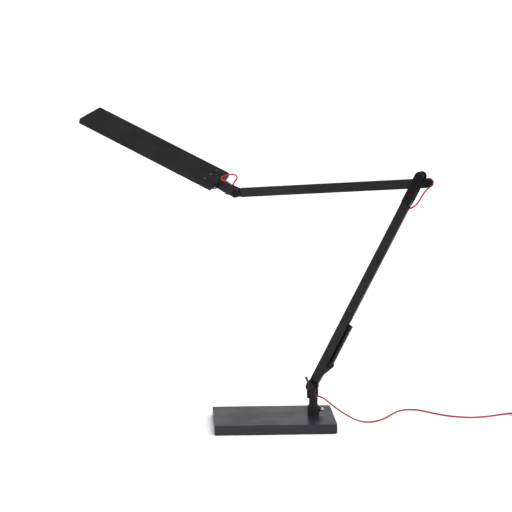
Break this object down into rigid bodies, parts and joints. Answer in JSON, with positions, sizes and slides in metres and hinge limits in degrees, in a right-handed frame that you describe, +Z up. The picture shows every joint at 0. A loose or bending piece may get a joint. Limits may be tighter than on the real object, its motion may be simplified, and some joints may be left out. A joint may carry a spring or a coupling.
{
  "type": "table lamp",
  "caption": "Black table lamp: a flat light head on jointed swing arms, a swivel post on a heavy rectangular base, and a thin red cord with a plug-in supply.",
  "frame": {"origin": "middle of the base's underside, on the table", "axes": "+Z up, +X along the base's long side towards the post's end, +Y towards the back"},
  "size_m": [0.8814, 0.3258, 0.5412],
  "materials": {
    "coated_steel": "matte",
    "coated_alloy": "matte",
    "dark_plastic": "satin",
    "dark_steel": "satin",
    "bright_steel": "polished",
    "bearing_plastic": "matte",
    "red_cable": "satin",
    "rubber_pad": "matte",
    "diffuser": "matte",
    "light_board": "matte",
    "control_board": "satin"
  },
  "bodies": {
    "base": {"base_plate": "coated_steel", "base_pad": "rubber_pad", "post_socket": "coated_steel", "socket_screw": "dark_steel", "swivel_washer": "bearing_plastic", "supply_cord": "red_cable", "cord_coil": "red_cable", "cord_tie": "rubber_pad", "adapter_relief": "dark_plastic", "adapter_body": "dark_plastic", "adapter_cover": "dark_plastic", "adapter_pins": "bright_steel"},
    "thumb_screw": {"thumb_screw": "bright_steel"},
    "swivel": {"swivel_post": "coated_alloy", "pivot_fork": "coated_alloy", "pivot_bolt": "dark_steel", "pivot_nut": "dark_steel", "pivot_washers": "bearing_plastic", "cord_clamp": "dark_plastic"},
    "clamp_lever": {"clamp_hub": "coated_alloy", "clamp_handle": "dark_steel"},
    "lower_arm": {"arm_foot": "coated_alloy", "lower_arm_tube": "coated_alloy", "elbow_yoke": "coated_alloy", "elbow_bolt": "dark_steel", "elbow_nut": "dark_steel", "elbow_washers": "bearing_plastic", "foot_screw": "dark_steel", "yoke_screw": "dark_steel", "strip_pin": "dark_steel", "lower_cable": "red_cable", "lower_grommet": "dark_plastic", "elbow_cable": "red_cable"},
    "arm_strip": {"arm_strip": "dark_steel"},
    "upper_arm": {"upper_arm_tube": "coated_alloy", "upper_end_cap": "dark_plastic", "elbow_bush": "bearing_plastic", "tilt_tongue": "coated_alloy", "tongue_screw": "dark_steel", "upper_cable": "red_cable"},
    "link": {"tilt_yoke": "coated_alloy", "tilt_bolt": "dark_steel", "tilt_nut": "dark_steel", "tilt_washers": "bearing_plastic", "friction_screw": "dark_steel", "head_cable": "red_cable"},
    "head": {"roll_collar": "coated_alloy", "head_bracket": "coated_alloy", "bracket_screws": "dark_steel", "head_shell": "coated_alloy", "head_near_cap": "dark_plastic", "head_far_cap": "dark_plastic", "head_cover": "dark_plastic", "head_diffuser": "diffuser", "led_board": "light_board", "control_board": "control_board"},
    "button_front": {"button_front": "dark_plastic"},
    "button_middle": {"button_middle": "dark_plastic"},
    "button_rear": {"button_rear": "dark_plastic"}
  },
  "joints": [
    {"name": "base_swivel", "type": "hinge", "parent": "base", "child": "swivel", "pos_m": [0.0695, 0, 0], "axis": [0, 0, 1], "range_deg": [-150, 150], "deforming": ["supply_cord"]},
    {"name": "lower_arm_tilt", "type": "hinge", "parent": "swivel", "child": "lower_arm", "pos_m": [0.06816, 0.00068, 0.06995], "axis": [0.454, 0.891, 0], "range_deg": [-47, 28]},
    {"name": "elbow", "type": "hinge", "parent": "lower_arm", "child": "upper_arm", "pos_m": [0.23408, -0.08386, 0.43073], "axis": [0.454, 0.891, 0], "range_deg": [-25, 70], "deforming": ["elbow_cable"]},
    {"name": "head_tilt", "type": "hinge", "parent": "upper_arm", "child": "link", "pos_m": [-0.06052, 0.06625, 0.40064], "axis": [-0.454, -0.891, 0], "range_deg": [-45, 80]},
    {"name": "head_roll", "type": "hinge", "parent": "link", "child": "head", "pos_m": [-0.06052, 0.06625, 0.40064], "axis": [0.8202, -0.4179, -0.3907], "range_deg": [-75, 75]},
    {"name": "thumb_screw_turn", "type": "hinge", "parent": "base", "child": "thumb_screw", "pos_m": [0.0695, 0, 0.0267], "axis": [1, 0, 0], "range_deg": [0, 360]},
    {"name": "clamp_lever_turn", "type": "hinge", "parent": "swivel", "child": "clamp_lever", "pos_m": [0.06816, 0.00068, 0.06995], "axis": [0.454, 0.891, 0], "range_deg": [0, 90]},
    {"name": "arm_strip_swing", "type": "hinge", "parent": "lower_arm", "child": "arm_strip", "pos_m": [0.09921, -0.01514, 0.10823], "axis": [0.454, 0.891, 0], "range_deg": [0, 30]},
    {"name": "button_front_press", "type": "slide", "parent": "head", "child": "button_front", "axis": [-0.203, 0.4259, -0.8817], "range_m": [0, 0.0005], "stiffness_N_per_m": 1500},
    {"name": "button_middle_press", "type": "slide", "parent": "head", "child": "button_middle", "axis": [-0.203, 0.4259, -0.8817], "range_m": [0, 0.0005], "stiffness_N_per_m": 1500},
    {"name": "button_rear_press", "type": "slide", "parent": "head", "child": "button_rear", "axis": [-0.203, 0.4259, -0.8817], "range_m": [0, 0.0005], "stiffness_N_per_m": 1500}
  ]
}
